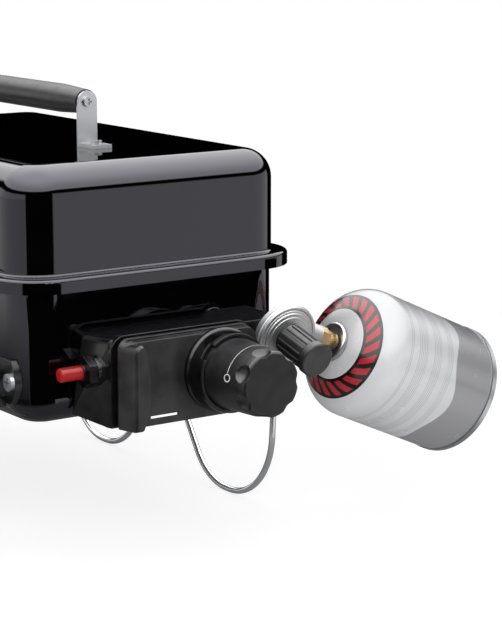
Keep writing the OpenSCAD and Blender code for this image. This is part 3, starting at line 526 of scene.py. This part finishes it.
# %% Canister outline
CAN_R, CAN_END = 55.5, 145.0                    # radius, and where the side ends
CAN_WALL = 0.5                                  # thickness of the skin
SEAT_R, SEAT_Z = 16.5, 6.0                      # where the dome meets the valve's cup
START_R = 16.6                                  # the skin starts just outside the cup
SHOULDER_R, SHOULDER_A = 25.0, np.radians(35)   # its rounding, and the dome's slope there
DOME_STEPS, SHOULDER_STEPS, SIDE_STEPS = 24, 32, 40

dome_r = SHOULDER_R + (CAN_R - SHOULDER_R) / np.sin(SHOULDER_A)
dome_z = SEAT_Z + np.sqrt(dome_r ** 2 - SEAT_R ** 2)
shoulder_z = dome_z - (dome_r - SHOULDER_R) * np.cos(SHOULDER_A)


def rounding(radius, angles, middle_r, middle_z):
    """Points (radius, height) of an arc: from its middle, the sine of the angle goes
    outwards and the cosine towards the tip."""
    outwards, tipwards = radius * np.sin(angles), radius * np.cos(angles)
    return np.column_stack([middle_r + outwards, middle_z - tipwards])


over_dome = np.linspace(np.arcsin(START_R / dome_r), SHOULDER_A, DOME_STEPS)
over_shoulder = np.linspace(SHOULDER_A, np.pi / 2, SHOULDER_STEPS)[1:]
side_z = np.linspace(shoulder_z, CAN_END, SIDE_STEPS + 1)[1:]
outside = np.vstack([
    rounding(dome_r, over_dome, 0, dome_z),
    rounding(SHOULDER_R, over_shoulder, CAN_R - SHOULDER_R, shoulder_z),
    np.column_stack([np.full(SIDE_STEPS, CAN_R), side_z]),
])
slope = np.gradient(outside, axis=0)
inward = np.column_stack([-slope[:, 1], slope[:, 0]]) / np.linalg.norm(slope, axis=1)[:, None]
skin_line = np.vstack([outside, (outside + CAN_WALL * inward)[::-1]])
print("dome radius, mm:", round(dome_r, 1), "shoulder at", round(shoulder_z, 1))

# %% [markdown]
# The can is round, so its skin is a turned shape: every point of the outline becomes a
# ring round the can's tilted axis. Blender's Screw modifier would do the same, but it
# knows nothing of where a point lies along the outline. That place is wanted for the
# paint, so it is stored with each point, as an attribute of the mesh.

# %% Canister skin
CAN_TIP = np.array([243.0, 141.5, 161.0])
CAN_SWING, CAN_TILT = np.radians(3), np.radians(24)
CAN_LEVEL = np.cos(CAN_TILT)                    # length of the axis, seen from above
CAN_AXIS = np.array([-np.sin(CAN_SWING) * CAN_LEVEL, np.cos(CAN_SWING) * CAN_LEVEL, -np.sin(CAN_TILT)])
TURN_STEPS = 144


def square_to(axis):
    """Two unit vectors at right angles to an axis and to each other: the upright
    crossed with the axis, and the axis crossed with that."""
    side = np.cross([0, 0, 1], axis)
    side /= np.linalg.norm(side)
    return side, np.cross(axis, side)


def turned(profile, origin, axis):
    """Surface of revolution: each profile point (radius, height) becomes a ring
    of that radius, at that height along the axis from the origin."""
    side, up = square_to(axis)
    angle = np.linspace(0, 2 * np.pi, TURN_STEPS, endpoint=False)
    ring = np.cos(angle)[:, None] * side + np.sin(angle)[:, None] * up
    radius, height = profile[:, 0, None, None], profile[:, 1, None, None]
    return place(origin + height * axis + radius * ring[None])


skin_grid = turned(skin_line, CAN_TIP, CAN_AXIS)
skin = surface("canister_skin", skin_grid, "canister", True)
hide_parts("canister_body")
along = np.concatenate([[0], np.cumsum(np.linalg.norm(np.diff(outside, axis=0), axis=1))])
share = np.concatenate([along, along[::-1]]) / along[-1]
paint_at = skin.data.attributes.new("along_skin", "FLOAT", "POINT")
paint_at.data.foreach_set("value", np.repeat(share, TURN_STEPS))
print("skin length, mm:", round(along[-1], 1))

# %% [markdown]
# Paint on a can is printed in bands and repeats. Two numbers are enough to draw it: the
# share of the way along the skin, which gives plain rings, and the angle round the can,
# which gives bars and waves. The angle comes from two dot products, one for each
# direction square to the axis. A picture wrapped round the can would do too, but its
# edges would blur close up.

# %% Where the paint goes
def towards(material, point, direction):
    """How far the shaded spot lies from a point, measured along a direction: the dot
    product of the spot less the point with the direction."""
    where = add(material, "ShaderNodeTexCoord").outputs["Object"]
    shift, dot = add(material, "ShaderNodeVectorMath"), add(material, "ShaderNodeVectorMath")
    shift.operation, dot.operation = "SUBTRACT", "DOT_PRODUCT"
    shift.inputs[1].default_value, dot.inputs[1].default_value = point, direction
    join(material, where, shift.inputs[0])
    join(material, shift.outputs["Vector"], dot.inputs[0])
    return dot.outputs["Value"]


WHITE_PAINT = (0.76, 0.765, 0.78)
white = finish("canister_paint", WHITE_PAINT, roughness=0.25, Coat_Weight=0.3, Coat_Roughness=0.1)
skin_share = add(white, "ShaderNodeAttribute")
skin_share.attribute_name = "along_skin"
height = skin_share.outputs["Fac"]
to_side, to_top = (towards(white, place(CAN_TIP), way) for way in square_to(CAN_AXIS))
round_can = calc(white, "ARCTAN2", to_top, to_side)
print("finish made:", white.name)

# %% [markdown]
# Each band is a mask, 1 inside and 0 outside. A Greater Than node would cut it hard and
# its edge would flicker, so the edge is soft by a fraction of a millimetre. Masks are
# then combined: a band is one step less another, and two masks meet in their product.

# %% Soft masks
EDGE_BLUR = 0.002                               # share of the skin's length


def step(owner, value, edge, blur):
    """Soft step: 0 below the edge, 1 above it, over a width of blur."""
    ends = {"From Min": edge - blur / 2, "From Max": edge + blur / 2}
    node = add(owner, "ShaderNodeMapRange", **ends)
    node.interpolation_type = "SMOOTHSTEP"
    join(owner, value, node.inputs["Value"])
    return node.outputs["Result"]


def between(owner, value, low, high, blur):
    """1 between two edges and 0 outside them: one soft step less the other."""
    return calc(owner, "SUBTRACT", step(owner, value, low, blur), step(owner, value, high, blur))


def both(owner, one, other):
    """Two masks together: 1 where both are."""
    return calc(owner, "MULTIPLY", one, other)


print("edge of a band, mm:", round(EDGE_BLUR * along[-1], 2))

# %% [markdown]
# The dark ring on the shoulder has slanted red bars: a sine of the angle, pushed on by
# the height, is cut to a bar. The grey foot has a slow wave for its edge, and the side
# has pin lines in groups. Each could be a mesh strip of its own, but print has no
# thickness that shows, so all of it stays in the paint.

# %% Masks of the paint
RING_BAND, BAR_BAND = (0.09, 0.195), (0.106, 0.18)    # shares of the skin's length
LINE_BAND, FOOT_EDGE = (0.36, 0.69), 0.735
BARS, BAR_SLANT = 22.0, 70.0                    # bars round the can, and their lean
BAR_CUT, BAR_BLUR = -0.25, 0.15                 # where the sine is cut
FOOT_WAVES, FOOT_SWING = 5.0, 0.022             # waves round the can, and how far they swing
LINE_PACE, LINE_CUT, LINE_BLUR = 500.0, 0.3, 0.4      # pace in radians over the skin
GROUP_PACE, GROUP_CUT, GROUP_BLUR = 58.0, -0.35, 0.05

around_bars = calc(white, "MULTIPLY", round_can, BARS)
lean = calc(white, "MULTIPLY", height, BAR_SLANT)
bar_wave = calc(white, "SINE", calc(white, "ADD", around_bars, lean))
bars = step(white, bar_wave, BAR_CUT, BAR_BLUR)
bars = both(white, bars, between(white, height, *BAR_BAND, EDGE_BLUR))
pin_lines = step(white, wave(white, height, LINE_PACE), LINE_CUT, LINE_BLUR)
groups = step(white, wave(white, height, GROUP_PACE), GROUP_CUT, GROUP_BLUR)
pin_lines = both(white, pin_lines, groups)
pin_lines = both(white, pin_lines, between(white, height, *LINE_BAND, EDGE_BLUR))
foot_wave = calc(white, "MULTIPLY", wave(white, round_can, FOOT_WAVES), FOOT_SWING)
foot = step(white, calc(white, "ADD", height, foot_wave), FOOT_EDGE, EDGE_BLUR)
ring = between(white, height, *RING_BAND, EDGE_BLUR)
print("foot starts at, mm:", round(FOOT_EDGE * along[-1]), "along the skin")

# %% [markdown]
# The colours go on as a printer lays inks: the white ground first, then lines, ring,
# bars and foot, each over what is there. The layers could be added up, but then an
# overlap would change its colour. The ground is a little cloudy and its gloss a little
# uneven, as on any sprayed can.

# %% Canister paint
GROUND_DARK, GROUND_LIGHT = (0.74, 0.745, 0.76), (0.79, 0.795, 0.81)
LINE_GREY, FOOT_GREY = (0.56, 0.565, 0.575), (0.34, 0.34, 0.352)
RING_BLACK, BAR_RED = (0.006, 0.006, 0.007), (0.5, 0.02, 0.03)


def tinted(material, fac, under, colour):
    """A colour laid over another where fac is 1; under is a colour or a socket."""
    node = add(material, "ShaderNodeMix")
    node.data_type = "RGBA"
    below, above = (socket for socket in node.inputs if socket.type == "RGBA")
    join(material, fac, node.inputs["Factor"])
    above.default_value = (*colour, 1)
    if isinstance(under, tuple):
        below.default_value = (*under, 1)
    else:
        join(material, under, below)
    return next(socket for socket in node.outputs if socket.type == "RGBA")


cloudy = step(white, noise(white, scale=30), edge=0.5, blur=0.6)
tone = tinted(white, cloudy, GROUND_DARK, GROUND_LIGHT)
for mask, colour in ((pin_lines, LINE_GREY), (ring, RING_BLACK), (bars, BAR_RED), (foot, FOOT_GREY)):
    tone = tinted(white, mask, tone, colour)
feed(white, tone, "Base Color")
vary(white, "Roughness", noise(white, scale=60), low=0.22, high=0.28)
skin.data.materials.append(white)
print("nodes in the canister's paint:", len(white.node_tree.nodes))

# %% [markdown]
# The floor is a pale sheet. Near the grill it is lit and keeps the soft shadow; farther
# out the camera sees it fade to the white of the surround, so there is no horizon
# line. A curved sweep of paper would do the same with a mesh, but the enamel would
# mirror it as an even grey, so the floor stays flat and its material does the work.

# %% Floor
FLOOR_REACH = 4                                 # metres to each side
PAPER_DARK, PAPER_LIGHT = 0.85, 0.88

floor_corners = [(x * FLOOR_REACH, y * FLOOR_REACH, 0) for x, y in ((-1, -1), (1, -1), (1, 1), (-1, 1))]
floor_mesh = bpy.data.meshes.new("floor")
floor_mesh.from_pydata(floor_corners, [], [(0, 1, 2, 3)])
floor = bpy.data.objects.new("floor", floor_mesh)
bpy.context.collection.objects.link(floor)
paper = finish("pale_paper", (0.86, 0.86, 0.86), roughness=0.9)
vary(paper, "Base Color", noise(paper, scale=3), PAPER_DARK, PAPER_LIGHT)
floor.data.materials.append(paper)
print("floor, m:", 2 * FLOOR_REACH, "square")

# %% [markdown]
# What a mirror finish picks up from the far floor is drawn on it too: white, but dark
# in a wedge towards the camera, which makes the black stripe down the lid's front
# corner, and dark in a strip beside the control end, which keeps the bowl black under
# the rim. A studio would lay black cards there. Cards would show in other views and cast
# shadows, so the pattern is a set of masks over the bearing and the distance of each
# floor spot.

# %% Floor pattern
FRONT = place([180.0, -100.0, 0.0])             # floor point under the lid's front corner
BACK = place([205.0, 110.0, 0.0])               # floor point under its back corner
FADE_MIDDLE, FADE_WIDTH = 0.7, 0.5              # metres from the middle
WEDGE, WEDGE_BLUR = (-1.06, 0.31), 0.06         # bearings of the dark wedge, radians
BEHIND, BEHIND_BLUR = 1.6, 0.08                 # bearing past which all is dark
STRIP = place([[650.0, 0, 0], [1233.0, 0, 0]])[:, 0]  # X of the dark strip's edges
STRIP_BLUR = 0.02
STRIP_REACH, STRIP_END_BLUR = 1.36, 0.04        # metres from the back corner

spot = add(paper, "ShaderNodeSeparateXYZ")
join(paper, add(paper, "ShaderNodeTexCoord").outputs["Object"], spot.inputs[0])
east, north = spot.outputs["X"], spot.outputs["Y"]


def opposite(owner, mask):
    """The other side of a mask: 1 less its value."""
    return calc(owner, "SUBTRACT", 1.0, mask)


def from_point(point):
    """Bearing and distance of the floor spot as seen from a floor point: the angle
    and the length of the way between them."""
    dx, dy = (calc(paper, "SUBTRACT", way, float(at)) for way, at in zip((east, north), point))
    square = calc(paper, "ADD", calc(paper, "MULTIPLY", dx, dx), calc(paper, "MULTIPLY", dy, dy))
    return calc(paper, "ARCTAN2", dy, dx), calc(paper, "SQRT", square)


reach = from_point((0, 0))[1]
front_bearing = from_point(FRONT)[0]
back_bearing, back_reach = from_point(BACK)
wedge = between(paper, front_bearing, *WEDGE, WEDGE_BLUR)
strip_end = opposite(paper, step(paper, back_reach, STRIP_REACH, STRIP_END_BLUR))
strip = both(paper, between(paper, east, *map(float, STRIP), STRIP_BLUR), strip_end)
behind = step(paper, back_bearing, BEHIND, BEHIND_BLUR)
dark = calc(paper, "MAXIMUM", calc(paper, "MAXIMUM", wedge, strip), behind)
away = step(paper, reach, FADE_MIDDLE, FADE_WIDTH)
print("dark strip, m:", np.round(STRIP, 2))

# %% [markdown]
# Light Path tells a camera ray from a mirrored one, so one sheet can do three jobs. A
# ray that only gathers soft light meets plain paper everywhere. The camera meets paper
# that is lifted towards white. A mirrored ray meets dimmed paper near the grill and
# the pattern far from it. The helpers mix shaders and values by such masks.

# %% Mixing by the kind of ray
def mirrored(owner, ray):
    """1 for a ray that reached here by mirror bounces alone."""
    soft = calc(owner, "MINIMUM", ray.outputs["Diffuse Depth"], 1.0)
    return both(owner, ray.outputs["Is Glossy Ray"], opposite(owner, soft))


def blend(owner, fac, off, on):
    """off where fac is 0, on where it is 1; each a number or a socket."""
    node = add(owner, "ShaderNodeMix")
    for socket, value in (("Factor", fac), ("A", off), ("B", on)):
        put(owner, value, node.inputs[socket])
    return node.outputs["Result"]


def glow(owner, strength):
    """Emission of a constant or driven strength."""
    node = add(owner, "ShaderNodeEmission")
    put(owner, strength, node.inputs["Strength"])
    return node


def mixed(owner, fac, off, on):
    """Mix Shader: the shader of node off where fac is 0, of node on where it is 1."""
    node = add(owner, "ShaderNodeMixShader")
    put(owner, fac, node.inputs[0])
    join(owner, off.outputs[0], node.inputs[1])
    join(owner, on.outputs[0], node.inputs[2])
    return node


ray = add(paper, "ShaderNodeLightPath")
plain = paper.node_tree.nodes["Principled BSDF"]
print("kinds of ray:", len(ray.outputs))

# %% [markdown]
# The lift towards white keeps the shadow under the grill and lightens the rest, as an
# overexposed studio floor does. More lamps could do it, but they would wash out the
# canister. For mirrors, the part of the floor left of the wedge is darker close by,
# which grades the front of the lid.

# %% Floor as each ray sees it
LIFT, LIFT_GLOW = 0.55, 1.42                    # share of the lift, and its strength
LEFT_NEAR, LEFT_FAR = 0.06, 0.75                # levels to the left of the wedge
LEFT_MIDDLE, LEFT_WIDTH = 0.95, 0.6             # where they change over, m
DARK_LEVEL, DIMMED = 0.004, 0.5                 # dark pattern, and share taken from the paper
NEAR, NEAR_BLUR = 0.4, 0.12                     # paper shows in mirrors up to here, m

lifted = mixed(paper, LIFT, plain, glow(paper, LIFT_GLOW))
for_camera = mixed(paper, away, lifted, glow(paper, 1.0))
left = step(paper, calc(paper, "MULTIPLY", front_bearing, -1.0), -WEDGE[0], WEDGE_BLUR)
left_level = blend(paper, step(paper, reach, LEFT_MIDDLE, LEFT_WIDTH), LEFT_NEAR, LEFT_FAR)
bright = blend(paper, left, 1.0, left_level)
# painted reflection: for mirrored rays the floor glows white, with the dark wedge and strip as painted
# shade seen in the enamel
painted_reflection = glow(paper, blend(paper, dark, bright, DARK_LEVEL))
# for mirrored rays near the grill the paper is dimmed by half, a painted shade in what the enamel
# mirrors close by
painted_shade_near = mixed(paper, DIMMED, plain, glow(paper, 0.0))
for_mirror = mixed(paper, step(paper, reach, NEAR, NEAR_BLUR), painted_shade_near, painted_reflection)
whole = mixed(paper, ray.outputs["Is Camera Ray"], plain, for_camera)
whole = mixed(paper, mirrored(paper, ray), whole, for_mirror)
join(paper, whole.outputs[0], paper.node_tree.nodes["Material Output"].inputs["Surface"])
print("nodes in the paper:", len(paper.node_tree.nodes))

# %% [markdown]
# The surround is white for the camera. Mirrored rays see a studio: white cards up to a
# low height, a dark gap, then a wide bright ceiling. The gap draws the thin black line
# where the lid's end turns over into its top; behind the grill there are no cards, so
# the flat top of the lid stays black. A photographed environment would need an image,
# and its reflections could not be put where they belong, so the world draws them from
# the direction alone.

# %% Surround
CARD_TOP, CEILING, CARD_BLUR = 0.16, 0.36, 0.08       # heights as the sine of the elevation
CEILING_MIDDLE, CEILING_WIDTH = 0.7, 0.5        # where the ceiling brightens
CEILING_LEVEL = (2.4, 4.3)                      # low down, and overhead
SOFT_LEVEL = 0.4                                # light for all that is not a mirror

sky = bpy.data.worlds.new("studio")
bpy.context.scene.world = sky
sky.use_nodes = True
sky_ray = add(sky, "ShaderNodeLightPath")
direction = add(sky, "ShaderNodeSeparateXYZ")
join(sky, add(sky, "ShaderNodeTexCoord").outputs["Generated"], direction.inputs[0])
rise = direction.outputs["Z"]
bearing = calc(sky, "ARCTAN2", direction.outputs["Y"], direction.outputs["X"])
sky_wedge = between(sky, bearing, *WEDGE, WEDGE_BLUR)
bare = calc(sky, "MAXIMUM", sky_wedge, step(sky, bearing, BEHIND, BEHIND_BLUR))
cards = both(sky, opposite(sky, bare), opposite(sky, step(sky, rise, CARD_TOP, CARD_BLUR)))
overhead = blend(sky, step(sky, rise, CEILING_MIDDLE, CEILING_WIDTH), *CEILING_LEVEL)
ceiling = both(sky, step(sky, rise, CEILING, CARD_BLUR), overhead)
level = blend(sky, mirrored(sky, sky_ray), SOFT_LEVEL, calc(sky, "ADD", cards, ceiling))
for seen_white in ("Is Transmission Ray", "Is Camera Ray"):
    level = blend(sky, sky_ray.outputs[seen_white], level, 1.0)
background = sky.node_tree.nodes["Background"]
background.inputs["Color"].default_value = (1, 1, 1, 1)
join(sky, level, background.inputs["Strength"])
print("nodes in the surround:", len(sky.node_tree.nodes))

# %% [markdown]
# Three soft lamps give the grill its shape: a key from the side of the controls, a weak
# one from above and a weak one from the front, which lifts the canister's dome. A sun
# would cut hard edges, so these are wide rectangles. Mirrored rays do not see them,
# because the cards and the ceiling of the surround already draw what the enamel shows.

# %% Lamps
def softbox(name, at, aim, width, height, watts):
    """Rectangular lamp at a point, turned towards another."""
    lamp = bpy.data.objects.new(name, bpy.data.lights.new(name, "AREA"))
    lamp.data.shape = "RECTANGLE"
    lamp.data.size, lamp.data.size_y, lamp.data.energy = width, height, watts
    lamp.location = at
    lamp.rotation_euler = (Vector(aim) - Vector(at)).to_track_quat("-Z", "Y").to_euler()
    lamp.visible_glossy = False
    bpy.context.collection.objects.link(lamp)
    print(name, "of", watts, "W")


softbox("key_lamp", at=(1.7, -0.6, 1.1), aim=(0.15, 0, 0.15), width=1.2, height=1.0, watts=14)
softbox("top_lamp", at=(0.2, 0.1, 1.9), aim=(0.1, 0, 0.2), width=1.6, height=1.2, watts=5)
softbox("fill_lamp", at=(0.5, -1.7, 0.45), aim=(0.25, 0.1, 0.15), width=1.0, height=0.7, watts=7)
bpy.context.scene.view_settings.view_transform = "Standard"

# %% [markdown]
# Blender must not change the size of the part.

# %% End
print("done")
